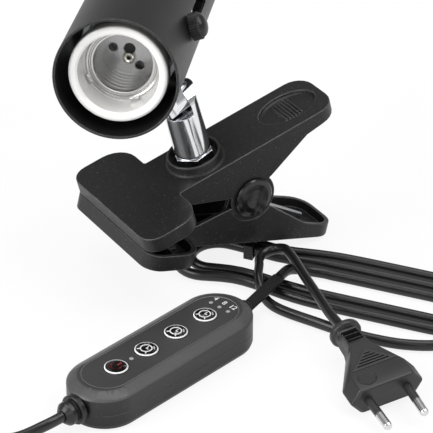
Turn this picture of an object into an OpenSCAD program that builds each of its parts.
// Terrarium clamp lamp: a spring clamp carries a chrome knuckle post and a black
// tube shade with a sliding E27 porcelain lampholder. Its lead runs through an
// inline timer to a flat two-pin mains plug.
// Millimetres. Origin at the centre of the jaws' grip, +X across the jaws, +Y from the
// jaws' mouth toward the handles, +Z up.

/* [Clamp] */
// Height of the jaw hinge behind the grip centre, measured along Y
hinge_y = 57; // [54:0.5:60]
// Tilt of each jaw plate from the grip plane
jaw_angle = 14.3; // [13.5:0.1:15]
// Distance of each jaw plate's outer face from the hinge axis
plate_h = 24.5; // [24:0.1:25.5]
// Thickness of the moulded walls
wall = 2.2; // [1.8:0.1:2.4]
// Half width of the jaw lobes
lobe_half = 36.2; // [32:0.1:37]
// Half width of the arm and the handle
arm_half = 15.8; // [15.6:0.1:16.4]
// Distance from the hinge to the front edge, along the plate
front_v = 65.4; // [63:0.1:68]
// Distance from the hinge to the back edge of the lobes
notch_v = 35.5; // [34:0.1:37]
// Distance from the hinge to the end of the handle
handle_v = 54.8; // [50:0.1:54.8]
// Depth of the skirt round each lobe
skirt = 7.6; // [7.5:0.1:8.2]
// Radius of the outer hinge ears
ear_r = 12; // [11:0.1:12.5]
// Radius of the hinge pin
pin_r = 2.5; // [2:0.1:3]
// Radius of the domed caps on the hinge pin
cap_r = 9.9; // [9:0.1:10.5]

/* [Spring] */
// Thickness of the spring wire
wire_d = 2; // [1.6:0.1:2.2]
// Mean radius of the spring's coil
coil_r = 7.6; // [7:0.1:8]
// Number of turns in the coil
coil_turns = 6; // [3:1:6]
// Length of each leg of the spring
leg_l = 50; // [44:1:50]
// Angle between each leg and the jaw plate that it presses
leg_rise = 15.8; // [12:0.1:16]

/* [Post] */
// Distance of the post in front of the hinge, along the plate
post_v = 16.6; // [15.5:0.1:17.5]
// Diameter of the chrome post and knuckle
post_d = 17.2; // [16:0.1:17.6]
// Height of the tilt pivot above the plate
tilt_h = 36.9; // [36:0.1:42]
// Turn of the tilt pin about the post, from the clamp's X
post_pan = -79.4; // [-100:0.1:-60]
// Bend of the knuckle from straight
knuckle_bend = 23.4; // [0:0.1:40]
// Turn of the shade about the knuckle
shade_turn = -135; // [-180:1:180]

/* [Shade] */
// Outer diameter of the tube
shade_d = 55.3; // [54:0.1:58]
// Length of the tube
shade_l = 132; // [125:1:145]
// Wall of the tube
shade_wall = 1.2; // [1:0.1:1.6]
// Distance of the knuckle behind the tube's mouth
knuckle_at = 67.4; // [64:0.1:72]
// Gap between the tilt pivot and the tube
knuckle_gap = 10; // [9.8:0.1:12]
// Width of the two slots that the lampholder slides along
slot_w = 7.2; // [6.6:0.1:8]
// Front end of the slots behind the mouth
slot_from = 42; // [38:1:44]
// Rear end of the slots behind the mouth
slot_to = 94; // [88:1:96]
// Angle of the thumb screw's slot from the knuckle
slot_angle = -80; // [-90:1:-70]

/* [Lampholder] */
// Distance of the porcelain rim behind the tube's mouth
rim_at = 6; // [5:0.5:12]
// Radius of the porcelain rim
rim_r = 22; // [21:0.1:23]
// Radius of the recess inside the rim
recess_r = 17.9; // [17:0.1:18.5]
// Inner radius of the E27 screw shell
shell_r = 13.4; // [13.3:0.05:13.5]
// Distance of the shell's mouth behind the tube's mouth
shell_at = 19.6; // [18:0.1:22]
// Distance of the contact floor behind the tube's mouth
floor_at = 39; // [38:0.5:41]

/* [Controller] */
// Length of the inline timer's case
case_l = 104; // [100:1:110]
// Width of the case
case_w = 34; // [32:0.5:38]
// Height of the case
case_h = 18.5; // [17:0.1:20]
// Distance between neighbouring buttons
button_pitch = 18.7; // [18:0.1:19]
// Diameter of each button
button_d = 10.6; // [9:0.1:11]
// Travel of each button
button_travel = 0.6; // [0.4:0.1:0.8]

/* [Plug and cord] */
// Diameter of the round cord
cord_d = 5.4; // [5:0.1:5.6]
// Loops of cord in the tied hank
hank_loops = 2; // [2:1:2]
// Sideways step of the cord on each loop of the hank
hank_step = 8; // [7.6:0.1:8.4]
// Width of the plug's body
plug_w = 35.3; // [35:0.1:36]
// Thickness of the plug's body
plug_t = 13.7; // [13:0.1:14.4]
// Length of the plug's pins
prong_l = 19; // [18.5:0.1:19.5]
// Diameter of the pins' bare metal
prong_d = 4; // [3.94:0.02:4.06]

/* [Hidden] */
$fn = 48;

black = "#1b1b1d";
matt_black = "#232324";
chrome = "#d8dadc";
steel = "#b9bcc0";
porcelain = "#f2f1ec";
brass = "#c9a55a";
board_green = "#2c5a3a";
cut = 0.01;
gap = 0.3;

table_z = -37.3;
rim_n = plate_h - skirt;
ear_in = arm_half - wall;
lug_out = ear_in - gap;
lug_in = lug_out - wall;
lug_r = ear_r - 0.6;
shade_r = shade_d / 2;
bore_r = shade_r - shade_wall;
axis_up = shade_r + knuckle_gap;
lap = 0.1;
disc_r = 6.6;
shoulder_h = tilt_h - disc_r - 0.7;
tongue_round = tilt_h - 3.6;
base_nut_h = 5.6;
panel_l = 90;
panel_w = 22.8;
panel_t = 0.9;
seam_h = 8;
panel_floor = case_h - 1.1;
timer_at = [71.7, -27.1, table_z];
timer_heading = 104.5;
plug_at = [146.5, 43.4, -28.7];
plug_turn = [8, 6.5, -8.6];
prong_pitch = 18.6;
prong_splay = 1.65;
prong_core = 1.5;
collar_back = 45;
hank_at = [11, 58, table_z + cord_d / 2 + 0.05];
hank_heading = 35;

// Outline with each corner [x, y, radius] rounded to its own radius
function unit(v) = v / norm(v);
function xy(p) = [p[0], p[1]];
function wrap(a) = a > 180 ? a - 360 : a < -180 ? a + 360 : a;
function arc_corner(a, b, c, r, steps) =
    let (
        u = unit(a - b),
        w = unit(c - b),
        half = acos(u * w) / 2,
        centre = b + unit(u + w) * r / sin(half),
        p = b + u * r / tan(half) - centre,
        q = b + w * r / tan(half) - centre,
        from = atan2(p[1], p[0]),
        sweep = wrap(atan2(q[1], q[0]) - from)
    )
    [for (i = [0:steps]) centre + r * [cos(from + sweep * i / steps), sin(from + sweep * i / steps)]];
function rounded(corners, steps = 6) =
    let (n = len(corners))
    [for (i = [0:n - 1])
        each arc_corner(xy(corners[(i + n - 1) % n]), xy(corners[i]),
                        xy(corners[(i + 1) % n]), corners[i][2], steps)];

// A slot or stadium of the given length over its round ends
module slot(length, width, depth) {
    cube([length - width, width, depth], center = true);
    for (side = [-1, 1])
        translate([side * (length - width) / 2, 0, 0]) cylinder(d = width, h = depth, center = true);
}

// A body with straight sides and round ends, from one half profile of [radius, height]
module stadium(length, width, profile) {
    run = length - width;
    rotate([90, 0, 90]) linear_extrude(run, center = true) {
        polygon(profile);
        mirror([1, 0]) polygon(profile);
    }
    for (side = [0, 1])
        rotate(180 * side) translate([run / 2 - cut, 0, 0])
            rotate(-90) rotate_extrude(angle = 180) polygon(profile);
}

// Hexagonal nut with a bore
module nut(flats, height, bore) {
    difference() {
        cylinder(d = flats / cos(30), h = height, $fn = 6);
        translate([0, 0, -1]) cylinder(r = bore, h = height + 2, $fn = 32);
    }
}

// Cord swept along a route: one ring of sides at each point
function tangent(p, i) = unit(p[min(i + 1, len(p) - 1)] - p[max(i - 1, 0)]);
function square_to(n, t) = unit(n - (n * t) * t);
function ring_normals(p) =
    [for (i = 0, n = square_to([0.1, 0.2, 1], tangent(p, 0)); i < len(p);
          i = i + 1, n = i < len(p) ? square_to(n, tangent(p, i)) : n) n];
module swept(p, d, sides) {
    normals = ring_normals(p);
    last = len(p) - 1;
    points = [for (i = [0:last], k = [0:sides - 1])
        let (n = normals[i], b = cross(tangent(p, i), n), a = 360 * k / sides)
        p[i] + d / 2 * (cos(a) * n + sin(a) * b)];
    side_faces = [for (i = [0:last - 1], k = [0:sides - 1])
        let (a = i * sides + k, b = i * sides + (k + 1) % sides)
        each [[a, a + sides, b], [b, a + sides, b + sides]]];
    start_face = [for (k = [1:sides - 2]) [0, k, k + 1]];
    end_face = [for (k = [1:sides - 2]) [last * sides, last * sides + k + 1, last * sides + k]];
    polyhedron(points, concat(side_faces, start_face, end_face));
}

// Smooth curve through the route's points, with a given number of steps between points
function through(a, b, c, d, t) =
    0.5 * (2 * b + (c - a) * t + (2 * a - 5 * b + 4 * c - d) * t * t
           + (3 * b - a - 3 * c + d) * t * t * t);
function smooth_route(p, steps) =
    let (n = len(p))
    concat([for (i = [0:n - 2], s = [0:steps - 1])
        through(p[max(i - 1, 0)], p[i], p[i + 1], p[min(i + 2, n - 1)], s / steps)], [p[n - 1]]);

// Frames of the assembly: each places its children on a member
module on_upper() {
    translate([0, hinge_y, 0]) rotate([jaw_angle, 0, 0]) children();
}
module on_lower() {
    translate([0, hinge_y, 0]) mirror([0, 0, 1]) rotate([jaw_angle, 0, 0]) children();
}
module on_post() {
    on_upper() translate([0, -post_v, plate_h]) rotate(post_pan) children();
}
module on_head() {
    on_post() translate([0, 0, tilt_h]) rotate([knuckle_bend, 0, 0]) children();
}
// Z runs back along the tube from its mouth, X points to the knuckle
module on_shade() {
    on_head() translate([0, 0, axis_up]) rotate(shade_turn) rotate([0, 90, 0])
        translate([0, 0, -knuckle_at]) children();
}
module on_timer() {
    translate(timer_at) rotate(timer_heading) children();
}
module on_plug() {
    translate(plug_at) rotate(plug_turn) children();
}

// Clamp
module jaw_plan(inset = 0) {
    polygon(rounded([
        [-lobe_half + inset, -front_v + inset, 8 - inset],
        [lobe_half - inset, -front_v + inset, 8 - inset],
        [lobe_half - inset, -notch_v - inset, 12 - inset],
        [arm_half - inset, -notch_v - inset, 1.2 + inset],
        [arm_half - inset, handle_v - inset, 10 - inset],
        [-arm_half + inset, handle_v - inset, 10 - inset],
        [-arm_half + inset, -notch_v - inset, 1.2 + inset],
        [-lobe_half + inset, -notch_v - inset, 12 - inset]
    ]));
}

// Side view of a jaw: skirt, arm, hinge ear and handle, y along the plate
module jaw_side(with_ear) {
    polygon([
        [-front_v - 1, plate_h + 1], [-front_v - 1, rim_n], [-notch_v, rim_n],
        [-31.3, 14.7], [-10.8, 5.5], [0, 2], [12.5, 5.8], [35.4, 16.4],
        [46, 17.6], [handle_v + 1, 18.2], [handle_v + 1, plate_h + 1]
    ]);
    if (with_ear) circle(r = ear_r, $fn = 64);
}

module across(width) {
    rotate([90, 0, 90]) linear_extrude(width, center = true) children();
}

module jaw_shell(with_ear) {
    difference() {
        intersection() {
            translate([0, 0, -ear_r - 1]) linear_extrude(plate_h + ear_r + 1) jaw_plan();
            across(2 * lobe_half + 2) jaw_side(with_ear);
        }
        translate([0, 0, -ear_r - 2]) linear_extrude(plate_h - wall + ear_r + 2) jaw_plan(wall);
    }
}

// Stiffening ribs and a moulding boss under each lobe
module lobe_ribs() {
    rib_h = skirt - wall - 1.4;
    for (side = [-1, 1]) {
        translate([side * 9 - 0.7, -front_v + 1, plate_h - wall - rib_h])
            cube([1.4, front_v - notch_v + 8, rib_h + 0.2]);
        translate([side * 24, -notch_v - 13, plate_h - wall - rib_h - 0.6])
            difference() {
                cylinder(r = 3.4, h = rib_h + 0.8, $fn = 24);
                translate([0, 0, -1]) cylinder(r = 1.5, h = rib_h - 1, $fn = 20);
            }
    }
    translate([-lobe_half + 4, -front_v + 15, plate_h - wall - rib_h])
        cube([2 * lobe_half - 8, 1.4, rib_h + 0.2]);
}

// Oval thumb recess with cross grooves near the end of a handle
module thumb_recess() {
    recess_l = 28;
    recess_w = 12.6;
    translate([0, 36, plate_h]) {
        rotate(90) slot(recess_l, recess_w, 1.4);
        for (i = [-2:2])
            translate([0, i * 4.4 + 1, 0]) slot(recess_w - 3, 1.8, 2.6);
    }
}

module upper_jaw() {
    color(black) on_upper() difference() {
        union() {
            jaw_shell(true);
            lobe_ribs();
            // Collar round the foot of the post
            translate([0, -post_v, plate_h - 0.2]) rotate_extrude($fn = 72) polygon([
                [11, 0], [14.4, 0], [13.4, 0.7], [13, 1.8], [12.8, 4.4],
                [12.5, 4.9], [11.9, 4.9], [11.6, 4.5], [11.3, 1.6]
            ]);
            // Boss under the plate for the post's stud
            translate([0, -post_v, plate_h - wall - 2]) cylinder(r = 10.5, h = 2.2);
        }
        thumb_recess();
        translate([0, -post_v, plate_h - wall - 3]) cylinder(r = 4.1, h = 12, $fn = 32);
        rotate([0, 90, 0]) cylinder(r = pin_r + 0.05, h = 2 * arm_half + 4, center = true, $fn = 40);
    }
}

module lower_jaw() {
    color(black) on_lower() difference() {
        union() {
            difference() {
                jaw_shell(false);
                // Room for the upper jaw's outer ears
                for (side = [-1, 1])
                    translate([side * (arm_half - wall / 2), 0, 0]) rotate([0, 90, 0])
                        cylinder(r = ear_r + gap, h = wall + 0.6, center = true, $fn = 64);
            }
            lobe_ribs();
            // Inner ears, set just inside the outer ones
            for (side = [-1, 1])
                translate([side * (lug_in + lug_out) / 2, 0, 0]) across(wall) {
                    circle(r = lug_r, $fn = 64);
                    polygon([[-lug_r, 1], [-lug_r - 4, plate_h - wall + 0.2],
                             [lug_r + 4, plate_h - wall + 0.2], [lug_r, 1]]);
                }
        }
        thumb_recess();
        rotate([0, 90, 0]) cylinder(r = pin_r, h = 2 * arm_half + 4, center = true, $fn = 40);
    }
}

module hinge_pin() {
    color(steel) translate([0, hinge_y, 0]) rotate([0, 90, 0])
        cylinder(r = pin_r, h = 2 * (arm_half + gap + 1), center = true, $fn = 40);
}

module hinge_caps() {
    color(black) translate([0, hinge_y, 0]) for (side = [0, 1])
        rotate(180 * side) translate([arm_half + gap, 0, 0]) rotate([0, 90, 0])
            rotate_extrude($fn = 64) polygon([
                [0, 1.02], [pin_r + 0.02, 1.02], [pin_r + 0.02, 0], [cap_r, 0], [cap_r, 0.8],
                [9.3, 1.3], [7.4, 1.75], [4.8, 2.1], [2.2, 2.25], [0, 2.3]
            ]);
}

// Torsion spring in one wire: lower leg, coil, upper leg
coil_pitch = wire_d + 0.45;
coil_half = coil_turns * coil_pitch / 2;
leg_tilt = jaw_angle + leg_rise;
coil_sweep = 180 - 2 * leg_tilt + 360 * coil_turns;
function coil_point(i) =
    let (a = -90 - leg_tilt - coil_sweep * i)
    [coil_half * (2 * i - 1), coil_r * cos(a), coil_r * sin(a)];
function leg_point(side, l) =
    coil_point(side < 0 ? 0 : 1) + l * [-side * 0.1, cos(leg_tilt), side * sin(leg_tilt)];
spring_route = concat(
    [for (l = [leg_l:-leg_l / 5:8]) leg_point(-1, l)],
    [for (i = [0:8 * coil_turns + 3]) coil_point(i / (8 * coil_turns + 3))],
    [for (l = [10:leg_l / 5:leg_l]) leg_point(1, l)]);

module clamp_spring() {
    color(steel) translate([0, hinge_y, 0]) swept(spring_route, wire_d, 6);
}

// Knuckle post: round shank with half of its top cut away for the head's half
module knuckle_post() {
    color(chrome) on_post() difference() {
        union() {
            translate([0, 0, -11.6]) cylinder(r = 4, h = 20, $fn = 32);
            intersection() {
                translate([0, 0, base_nut_h + gap]) rotate_extrude($fn = 64) polygon([
                    [0, 0], [post_d / 2 - 0.9, 0], [post_d / 2, 0.9], [post_d / 2, tilt_h + 6], [0, tilt_h + 6]
                ]);
                union() {
                    translate([-post_d, -post_d, 0]) cube([2 * post_d, 2 * post_d, tongue_round]);
                    translate([0, 0, tongue_round]) rotate([0, 90, 0])
                        cylinder(d = post_d + 0.02, h = post_d + 2, center = true, $fn = 64);
                }
            }
        }
        translate([-lap, -post_d, shoulder_h]) cube([post_d, 2 * post_d, 2 * post_d]);
        translate([0, 0, tilt_h]) rotate([0, 90, 0]) cylinder(r = 2, h = 2 * post_d, center = true, $fn = 32);
    }
}

module post_nut() {
    color(chrome) on_post() translate([0, 0, gap]) nut(17, base_nut_h, 4.02);
}

module post_washer() {
    color(steel) on_post() translate([0, 0, -wall - 2 - gap - 1.2]) difference() {
        cylinder(r = 8, h = 1.2, $fn = 40);
        translate([0, 0, -1]) cylinder(r = 4.02, h = 4, $fn = 32);
    }
}

module post_lock_nut() {
    color(steel) on_post() translate([0, 0, -wall - 2 - gap - 1.2 - 5]) nut(13, 5, 4.02);
}

module knuckle_screw() {
    color(steel) on_post() translate([0, 0, tilt_h]) rotate([0, 90, 0])
        cylinder(r = 1.98, h = post_d - 1, center = true, $fn = 32);
}

// Head side of the knuckle: a narrower disc on the tilt pin, saddled onto the tube
module knuckle_head() {
    color(chrome) on_head() difference() {
        intersection() {
            cylinder(d = post_d, h = 2 * (knuckle_gap + 6), center = true, $fn = 64);
            union() {
                rotate([0, 90, 0]) cylinder(r = disc_r, h = post_d + 2, center = true, $fn = 64);
                translate([-post_d, -disc_r, 0]) cube([2 * post_d, 2 * disc_r, post_d]);
                translate([-post_d, -post_d, disc_r + 0.9]) cube([2 * post_d, 2 * post_d, post_d]);
            }
        }
        translate([-post_d + lap, -post_d, -post_d]) cube([post_d, 2 * post_d, 1.5 * post_d + gap]);
        translate([0, 0, axis_up]) rotate(shade_turn) rotate([0, 90, 0])
            cylinder(r = shade_r + 0.05, h = 60, center = true, $fn = 96);
        rotate([0, 90, 0]) cylinder(r = 2.05, h = 2 * post_d, center = true, $fn = 32);
    }
}

// Screw from inside the tube into the knuckle, with a saddle under its head
module shade_stud() {
    color(steel) on_head() intersection() {
        union() {
            translate([0, 0, knuckle_gap - 0.02]) cylinder(r = 2.5, h = 2.5, $fn = 32);
            translate([0, 0, knuckle_gap + shade_wall]) cylinder(r = 5, h = 3.2, $fn = 40);
        }
        translate([0, 0, axis_up]) rotate(shade_turn) rotate([0, 90, 0]) union() {
            cylinder(r = bore_r - 0.02, h = 60, center = true, $fn = 96);
            rotate([0, 90, 0]) cylinder(r = 2.5, h = 40, $fn = 32);
        }
    }
}

// Shade
module shade_slots() {
    for (a = [slot_angle, slot_angle + 180])
        rotate(a) translate([shade_r, 0, (slot_from + slot_to) / 2]) rotate([0, 90, 0])
            slot(slot_to - slot_from, slot_w, 12);
}

module shade_tube() {
    color(matt_black) on_shade() difference() {
        rotate_extrude($fn = 120) polygon([
            [bore_r + 0.3, 0], [shade_r - 0.3, 0], [shade_r, 0.3], [shade_r, shade_l - 0.3],
            [shade_r - 0.3, shade_l], [bore_r + 0.3, shade_l], [bore_r, shade_l - 0.3], [bore_r, 0.3]
        ]);
        shade_slots();
        translate([bore_r - 2, 0, knuckle_at]) rotate([0, 90, 0]) cylinder(r = 2.55, h = 6, $fn = 32);
    }
}

// Vented cap in the rear of the tube
cap_l = 9;
module rear_cap() {
    color(black) on_shade() translate([0, 0, shade_l]) difference() {
        rotate_extrude($fn = 96) polygon([
            [5, 1.6], [5, cap_l], [9, cap_l], [13, cap_l - 0.9], [20, 5.2], [25.6, 2.8],
            [shade_r, 2], [shade_r, 0.05], [bore_r - 0.1, 0.05], [bore_r - 0.1, -8],
            [bore_r - 2, -8], [bore_r - 2, 0], [19, 3.2], [12.6, 6.4], [8.6, 6.9], [8.6, 1.6]
        ]);
        for (i = [0:11])
            rotate(30 * i + 15) translate([17.5, 0, 4]) slot(8.5, 2.6, 12);
    }
}

// Stepped strain relief in the rear cap
gland_l = 30;
module cord_gland() {
    color(black) on_shade() translate([0, 0, shade_l]) rotate_extrude($fn = 40) polygon(concat(
        [[0, -1.4], [7.6, -1.4], [7.6, 1.55], [4.95, 1.55], [4.95, cap_l + 0.05], [6.4, cap_l + 0.05],
         [6.4, cap_l + 2.2]],
        [for (i = [0:4], k = [0, 1])
            [6.1 - i * 0.55 - 0.9 * k, cap_l + 2.2 + i * 4 + 2.6 * k + 0.3]],
        [[3.1, cap_l + 20.9], [3, cap_l + 21.9]],
        [[3, cap_l + gland_l - 6], [0, cap_l + gland_l - 6]]));
}

// Carriage of the lampholder
boss_at = 46.5;
module holder_bracket() {
    color(steel) on_shade() difference() {
        union() {
            translate([0, 0, boss_at - 5.5]) difference() {
                cylinder(r = 22.4, h = 11, $fn = 96);
                translate([0, 0, -1]) cylinder(r = 19.65, h = 13, $fn = 96);
            }
            intersection() {
                for (a = [slot_angle, slot_angle + 180])
                    rotate(a) translate([20.6, 0, boss_at]) rotate([0, 90, 0]) cylinder(r = 5, h = 8, $fn = 40);
                cylinder(r = bore_r - gap, h = 100, $fn = 120);
            }
            rotate(slot_angle + 180) translate([22, 0, boss_at]) rotate([0, 90, 0])
                cylinder(r = 3.3, h = shade_r - 22 + 0.4, $fn = 40);
        }
        rotate(slot_angle) translate([18, 0, boss_at]) rotate([0, 90, 0]) cylinder(r = 2.5, h = 12, $fn = 32);
        cylinder(r = 19.65, h = 100, $fn = 96);
    }
}

contact_xy = [3.3, 1.9];
contact_rise = 2.4;
shell_to = floor_at - contact_rise - 0.4;
screw_spots = [[-3.7, 6.4], [8.9, -0.4]];
module porcelain_holder() {
    color(porcelain) on_shade() difference() {
        rotate_extrude($fn = 96) polygon([
            [recess_r, rim_at + 1], [recess_r + 1, rim_at], [rim_r - 1.2, rim_at], [rim_r - 0.3, rim_at + 0.4],
            [rim_r, rim_at + 1.4], [rim_r, rim_at + 7], [rim_r - 0.8, rim_at + 8.6], [19.6, rim_at + 10.5],
            [19.6, 56], [18.6, 57], [0, 57], [0, floor_at], [shell_r + 0.45, floor_at],
            [shell_r + 0.45, shell_at + 0.6], [recess_r, shell_at + 0.6]
        ]);
        translate([0, 0, floor_at - 1]) cylinder(r = 2.6, h = 8, $fn = 24);
        translate([contact_xy[0], contact_xy[1], floor_at - 1]) cylinder(r = 2.6, h = 3, $fn = 24);
        for (p = screw_spots) translate([p[0], p[1], floor_at - 1]) cylinder(r = 2.1, h = 6, $fn = 24);
        // Terminal pockets in the rear
        for (side = [-1, 1]) translate([side * 9, 0, 54]) cube([6, 12, 10], center = true);
    }
}

module screw_shell() {
    color(chrome) on_shade() {
        rotate_extrude($fn = 96) polygon([
            [shell_r, shell_at + 0.3], [shell_r + 0.3, shell_at], [16.6, shell_at], [16.6, shell_at + 0.55],
            [shell_r + 0.4, shell_at + 0.55], [shell_r + 0.4, shell_to], [shell_r, shell_to]
        ]);
        for (a = [10, 91, 176])
            rotate(a) translate([16.4, -2.2, shell_at - 0.35]) cube([1.3, 4.4, 0.7]);
    }
}

module centre_contact() {
    color(brass) on_shade() translate([0, 0, floor_at - contact_rise]) {
        translate([contact_xy[0], contact_xy[1], 0]) cylinder(r = 2.5, h = 4.3, $fn = 32);
        rotate(atan2(contact_xy[1], contact_xy[0])) translate([-1, -1.6, 1.2]) cube([4, 3.2, 0.8]);
    }
}

module holder_screws() {
    color(steel) on_shade() for (p = screw_spots)
        translate([p[0], p[1], floor_at + 0.4]) difference() {
            cylinder(r = 2.05, h = 4.5, $fn = 24);
            cube([3, 0.7, 1.2], center = true);
        }
}

knob_h = 5.2;
module thumb_screw() {
    knob_r = 7;
    ridges = 28;
    color(black) on_shade() rotate(slot_angle) translate([0, 0, boss_at]) rotate([0, 90, 0]) {
        translate([0, 0, 20.2]) cylinder(r = 2.45, h = shade_r + 1 - 20.2, $fn = 32);
        translate([0, 0, shade_r + 0.7]) {
            linear_extrude(knob_h) polygon([for (i = [0:2 * ridges - 1])
                (knob_r - 0.45 * (i % 2)) * [cos(180 * i / ridges), sin(180 * i / ridges)]]);
            translate([0, 0, knob_h - cut]) rotate_extrude($fn = 48) polygon([
                [0, 0], [6.5, 0], [6.5, 0.4], [5.6, 1.9], [4, 3.1], [2, 3.8], [0, 4]
            ]);
        }
    }
}

// Inline timer
module case_profile_solid(inset, low, high, edge) {
    stadium(case_l - 2 * inset, case_w - 2 * inset, [
        [0, low], [case_w / 2 - inset, low], [case_w / 2 - inset, high - edge[1]],
        [case_w / 2 - inset - edge[0] / 5, high - edge[1] * 0.6], [case_w / 2 - inset - edge[0], high], [0, high]
    ]);
}

button_at = [for (i = [0:3]) (i - 1.5) * button_pitch];
lens_at = [[button_at[0] + button_pitch / 2, 0], [37.5, 5.3], [37.5, 0], [37.5, -5.3]];
screw_at = [-42, 45];
button_hole_r = button_d / 2 + 0.2;

module case_top() {
    color(matt_black) on_timer() difference() {
        union() {
            difference() {
                case_profile_solid(0, seam_h, case_h, [5, 3.4]);
                case_profile_solid(2, seam_h - 1, case_h - 2.4, [4, 2.4]);
            }
            for (x = screw_at) translate([x, 0, seam_h + 2.4]) cylinder(r = 3.2, h = case_h - 2 - seam_h - 2.4, $fn = 32);
        }
        translate([0, 0, panel_floor]) stadium(panel_l + 0.3, panel_w + 0.3, [[0, 0], [panel_w / 2 + 0.15, 0], [panel_w / 2 + 0.15, 3], [0, 3]]);
        for (x = button_at) translate([x, 0, case_h - 5]) cylinder(r = button_hole_r, h = 8, $fn = 40);
        for (p = lens_at) translate([p[0], p[1], case_h - 5]) cylinder(r = 1.05, h = 8, $fn = 24);
        for (x = screw_at) translate([x, 0, seam_h]) cylinder(r = 1.3, h = 6.5, $fn = 24);
        for (side = [-1, 1]) translate([side * case_l / 2, 0, 9.3]) rotate([0, 90, 0]) cylinder(r = 4.05, h = 8, center = true, $fn = 32);
    }
}

module case_base() {
    color(matt_black) on_timer() difference() {
        union() {
            difference() {
                stadium(case_l, case_w, [[0, 0], [14.6, 0], [16.4, 0.9], [17, 2.6], [17, seam_h - 0.05], [0, seam_h - 0.05]]);
                stadium(case_l - 4, case_w - 4, [[0, 1.8], [13.6, 1.8], [15, 3.2], [15, seam_h + 1], [0, seam_h + 1]]);
            }
            for (x = screw_at) translate([x, 0, 1]) cylinder(r = 3.2, h = seam_h + 1.2, $fn = 32);
        }
        for (x = screw_at) translate([x, 0, -1]) {
            cylinder(r = 1.6, h = 16, $fn = 24);
            cylinder(r = 2.8, h = 3.4, $fn = 32);
        }
        for (side = [-1, 1]) translate([side * case_l / 2, 0, 9.3]) rotate([0, 90, 0]) cylinder(r = 4.05, h = 8, center = true, $fn = 32);
    }
}

module face_panel() {
    color("#2a2a2c") on_timer() difference() {
        translate([0, 0, panel_floor + 0.02]) stadium(panel_l, panel_w, [
            [0, 0], [panel_w / 2, 0], [panel_w / 2, panel_t - 0.15], [panel_w / 2 - 0.15, panel_t], [0, panel_t]]);
        for (x = button_at) translate([x, 0, case_h - 5]) cylinder(r = button_hole_r, h = 8, $fn = 40);
        for (p = lens_at) translate([p[0], p[1], case_h - 5]) cylinder(r = 1.05, h = 8, $fn = 24);
    }
}

board_z = 10.3;
module circuit_board() {
    color(board_green) on_timer() translate([0, 0, board_z]) difference() {
        stadium(92, 27, [[0, 0], [13.5, 0], [13.5, 1.4], [0, 1.4]]);
        for (x = screw_at) translate([x, 0, -1]) cylinder(r = 3.5, h = 4, $fn = 32);
        translate([50.5, 0, 0]) cube([14, 10, 6], center = true);
        translate([-50.5, 0, 0]) cube([14, 10, 6], center = true);
    }
}

module tact_switches() {
    color(steel) on_timer() for (x = button_at) translate([x, 0, board_z + 1.42]) {
        translate([-3, -3, 0]) cube([6, 6, 1.4]);
        cylinder(r = 1.6, h = 1.7, $fn = 24);
    }
}

// Button with a domed face and a flange that keeps it in the case
module timer_button(i) {
    stem_z = board_z + 1.42 + 1.7 + button_travel + 0.1;
    on_timer() translate([button_at[i], 0, 0]) rotate_extrude($fn = 48) polygon([
        [0, stem_z], [1.8, stem_z], [1.8, case_h - 4.4 + 0.6], [button_d / 2 - 0.1, case_h - 4.4 + 0.6],
        [button_d / 2, case_h - 3.7], [button_d / 2, case_h + 0.1], [button_d / 2 - 0.5, case_h + 0.45],
        [button_d / 2 - 2, case_h + 0.7], [0, case_h + 0.8]
    ]);
}

module power_button() { color(black) timer_button(0); }
module timer_button_1() { color(black) timer_button(1); }
module timer_button_2() { color(black) timer_button(2); }
module timer_button_3() { color(black) timer_button(3); }

module indicator_lenses() {
    color("#8f9092") on_timer() for (p = lens_at)
        translate([p[0], p[1], board_z + 1.42]) cylinder(r = 1, h = case_h - 0.1 - board_z - 1.42, $fn = 24);
}

module case_screws() {
    color(steel) on_timer() for (x = screw_at) translate([x, 0, 1.1]) difference() {
        union() {
            cylinder(r = 2.7, h = 1.3, $fn = 32);
            cylinder(r = 1.28, h = 13, $fn = 24);
        }
        for (a = [0, 90]) rotate(a) cube([3, 0.6, 1.2], center = true);
    }
}

module lamp_side_gland() {
    color(black) on_timer() translate([-case_l / 2, 0, 9.3]) rotate([0, -90, 0]) rotate_extrude($fn = 40)
        polygon([
            [0, -3.6], [5.4, -3.6], [5.4, -2.1], [4, -2.1], [4, 0.1], [6.7, 0.1], [6.9, 0.6], [6.9, 2.4],
            [6.5, 2.9], [5, 3], [5, 4.1], [5.4, 4.3], [5.6, 5], [5.4, 6.6], [4.4, 7.8], [3.2, 9], [0, 9]
        ]);
}

relief_turn = 12.3;
relief_l = 29;
relief_from = case_l / 2 + 4;
module mains_side_gland() {
    color(black) on_timer() {
        translate([case_l / 2, 0, 9.3]) rotate([0, 90, 0]) rotate_extrude($fn = 40)
            polygon([[0, -3.6], [5.4, -3.6], [5.4, -2.1], [4, -2.1], [4, 0.1], [4.2, 1], [4.1, 2.6], [3.4, 4], [2.4, 4.8], [0, 5]]);
        translate([relief_from, 0, 9.3]) rotate(relief_turn) {
            for (side = [-1, 1]) translate([0, side * 1.45, 0]) rotate([0, 90, 0]) cylinder(r = 1.6, h = relief_l, $fn = 24);
            translate([0, -1, -1.2]) cube([relief_l, 2, 2.4]);
        }
    }
}

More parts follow.
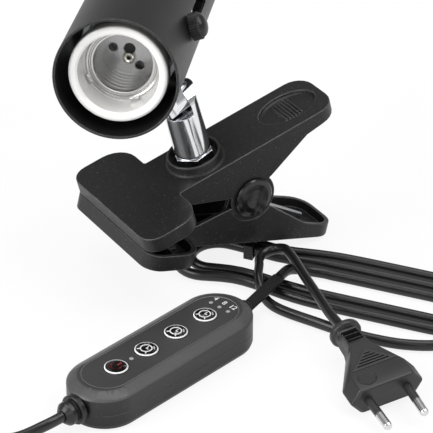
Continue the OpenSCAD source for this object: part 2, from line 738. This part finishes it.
// Routes of the cord
lamp_route = [
    [-89.88, 75.95, 75.48], [-94.5, 79.7, 74.7], [-108.5, 88.6, 72], [-128.5, 91.6, 68], [-150, 83, 61.5],
    [-167, 63, 52.5], [-178.5, 37, 39.5], [-184, 9, 22.5], [-181, -15, 2], [-170, -35, -16.5],
    [-152, -52, -29.5], [-127, -65.5, -34.5], [-92, -78, -34.5], [-42, -94.5, -34.5], [8, -113, -34.5],
    [42, -125, -34.5], [62, -127, -34.5], [76, -121, -34.2], [85, -108, -32], [88, -95, -28.6], [87, -86.2, -28]
];
mains_route = [
    [44.6, 53, -28], [42.2, 57.8, -28], [40.9, 60.8, -28.4], [40.3, 64, -29.3], [40.2, 67.9, -30.8],
    [40.9, 71.7, -32.4], [42.5, 75.3, -33.6], [44.9, 78.8, -34.3], [48.2, 81.4, -34.55]
];
plug_route = [
    [84.3, 127.6, -34.5], [98, 132.5, -34.5], [113, 128, -34.5], [123, 117, -34.5], [125.5, 103, -34.5],
    [121, 88, -34.5], [112, 75.5, -34.5], [100, 65.5, -34.5], [88, 58, -34.5], [76, 52, -34.5],
    [65, 46.6, -34.5], [57.2, 43.6, -34.4], [51.2, 42.6, -33.9], [46.6, 42.9, -32.6], [42.4, 43.8, -30.2],
    [38.4, 45.6, -28.7], [34.6, 48.2, -28.2], [30.5, 51.2, -28.1], [26.7, 53.7, -27.9], [24.6, 56.7, -27.4],
    [24.3, 60.3, -26.7], [25.8, 63.5, -25.8], [28.8, 65.5, -24.8], [32.6, 65.7, -23.9], [41, 63.7, -23.1],
    [54, 60.4, -23.4], [70, 56.8, -23.7], [86, 53, -23.8], [97, 51.2, -23.8], [102.3, 50.1, -23.6]
];

module lamp_cord() {
    color(black) swept(smooth_route(lamp_route, 2), cord_d, 8);
}
module mains_lead() {
    color(black) swept(mains_route, cord_d, 8);
}
module plug_lead() {
    color(black) swept(plug_route, cord_d, 8);
}

// Hank of cord: clockwise loops that widen at a steady rate, drawn in at the tie
hank_run = 112;
hank_middle = [44, -9];
hank_half = 6;
waist_x = 8;
hank_from = 0.1248;
hank_to = hank_loops + 0.25;
function waist(x) = 1 - 0.24 * exp(-pow((x - waist_x) / 22, 2));
function hank_point(t) =
    let (
        b = hank_half + hank_step * t,
        q = 4 * (t - floor(t)),
        part = floor(q),
        f = q - part,
        turn = part == 1 ? 90 - 180 * f : -90 - 180 * f,
        x = part == 0 ? hank_run * (f - 0.5) : part == 2 ? hank_run * (0.5 - f)
            : part == 1 ? hank_run / 2 + b * cos(turn) : -hank_run / 2 + b * cos(turn),
        y = part == 0 ? b : part == 2 ? -b : b * sin(turn),
        along = hank_middle[0] + x
    )
    [along, hank_middle[1] + y * waist(along), 1.1 * exp(-pow(along / 14, 2))];
hank_steps = ceil(24 * (hank_to - hank_from));
hank_route = [for (i = [0:hank_steps]) hank_point(hank_from + (hank_to - hank_from) * i / hank_steps)];
hank_fine = [for (i = [0:4 * hank_steps]) hank_point(hank_from + (hank_to - hank_from) * i / hank_steps / 4)];
hank_gap = min([for (i = [0:len(hank_fine) - 40], j = [i + 40:len(hank_fine) - 1])
    norm(hank_fine[i] - hank_fine[j])]) - cord_d;
echo(hank_gap = hank_gap);

module on_hank() {
    translate(hank_at) rotate(hank_heading) children();
}
module mains_hank() {
    color(black) on_hank() swept(hank_route, cord_d, 6);
}

module cable_tie() {
    low = hank_middle[1] + (hank_half + hank_step * 1.1) * waist(0) - cord_d / 2 - 0.5;
    high = hank_middle[1] + (hank_half + hank_step * 2.1) * waist(0) + cord_d / 2 + 0.6;
    height = cord_d + 0.5;
    color("#101011") on_hank() translate([0, (low + high) / 2, 1.15]) rotate([90, 0, 90]) {
        linear_extrude(4.6, center = true) difference() {
            square([high - low + 1.6, height + 1.6], center = true);
            square([high - low, height], center = true);
        }
        translate([0, height / 2 + 1.15, 0]) cube([5.4, 1.9, 5.6], center = true);
    }
}

// Plug: cross-sections from the collar to the face, widening and flattening
function plug_section(x, half_w, half_flat, half_t) =
    [for (p = [[-half_flat, half_t], [half_flat, half_t], [half_w, 0],
               [half_flat, -half_t], [-half_flat, -half_t], [-half_w, 0]]) [x, p[0], p[1]]];
module lofted(sections) {
    n = len(sections[0]);
    last = len(sections) - 1;
    polyhedron([for (s = sections) each s], concat(
        [for (i = [0:last - 1], k = [0:n - 1])
            let (a = i * n + k, b = i * n + (k + 1) % n) each [[a, b, a + n], [b, b + n, a + n]]],
        [for (k = [1:n - 2]) [0, k + 1, k]],
        [for (k = [1:n - 2]) [last * n, last * n + k, last * n + k + 1]]));
}

module plug_body() {
    color(black) on_plug() difference() {
        union() {
            lofted([
                plug_section(-38, 6.6, 4.2, 5.4), plug_section(-30, 7, 4.6, 5.8), plug_section(-26, 8.2, 5.4, 6.2),
                plug_section(-10, plug_w / 2, 13, plug_t / 2), plug_section(-1, plug_w / 2, 13, plug_t / 2),
                plug_section(0, plug_w / 2 - 1, 12.4, plug_t / 2 - 0.8)
            ]);
            translate([-collar_back, 0, 0]) rotate([0, 90, 0]) rotate_extrude($fn = 48)
                polygon([[0, 0], [6.6, 0], [7.5, 0.9], [7.5, 2.6], [6.8, 3.4], [5.9, 3.6], [5.6, 7.4], [0, 7.4]]);
        }
        for (i = [0:2]) translate([-40.2 + 3.1 * i, 0, 7]) cube([1.5, 7.4, 5], center = true);
        for (side = [-1, 1]) translate([0, side * prong_pitch / 2, 0]) rotate([0, 0, -side * prong_splay])
            rotate([0, 90, 0]) cylinder(r = prong_core + 0.02, h = 16, center = true, $fn = 32);
    }
}

module plug_pins() {
    color(chrome) on_plug() for (side = [-1, 1])
        translate([0, side * prong_pitch / 2, 0]) rotate([0, 0, -side * prong_splay]) rotate([0, 90, 0])
            rotate_extrude($fn = 40) polygon([
                [0, -7.9], [prong_core, -7.9], [prong_core, 10.02], [prong_d / 2, 10.02],
                [prong_d / 2, prong_l - 1.2],
                [prong_d / 2 - 0.5, prong_l - 0.3], [prong_d / 2 - 1.1, prong_l], [0, prong_l]
            ]);
}

module pin_sleeves() {
    color(black) on_plug() for (side = [-1, 1])
        translate([0, side * prong_pitch / 2, 0]) rotate([0, 0, -side * prong_splay]) rotate([0, 90, 0])
            rotate_extrude($fn = 40) polygon([
                [prong_core + 0.02, 0.05], [prong_d / 2, 0.05], [prong_d / 2, 10], [prong_core + 0.02, 10]
            ]);
}

upper_jaw();
lower_jaw();
hinge_pin();
hinge_caps();
clamp_spring();
knuckle_post();
post_nut();
post_washer();
post_lock_nut();
knuckle_screw();
knuckle_head();
shade_stud();
shade_tube();
rear_cap();
cord_gland();
holder_bracket();
porcelain_holder();
screw_shell();
centre_contact();
holder_screws();
thumb_screw();
case_top();
case_base();
face_panel();
circuit_board();
tact_switches();
power_button();
timer_button_1();
timer_button_2();
timer_button_3();
indicator_lenses();
case_screws();
lamp_side_gland();
mains_side_gland();
lamp_cord();
mains_lead();
mains_hank();
plug_lead();
cable_tie();
plug_body();
plug_pins();
pin_sleeves();
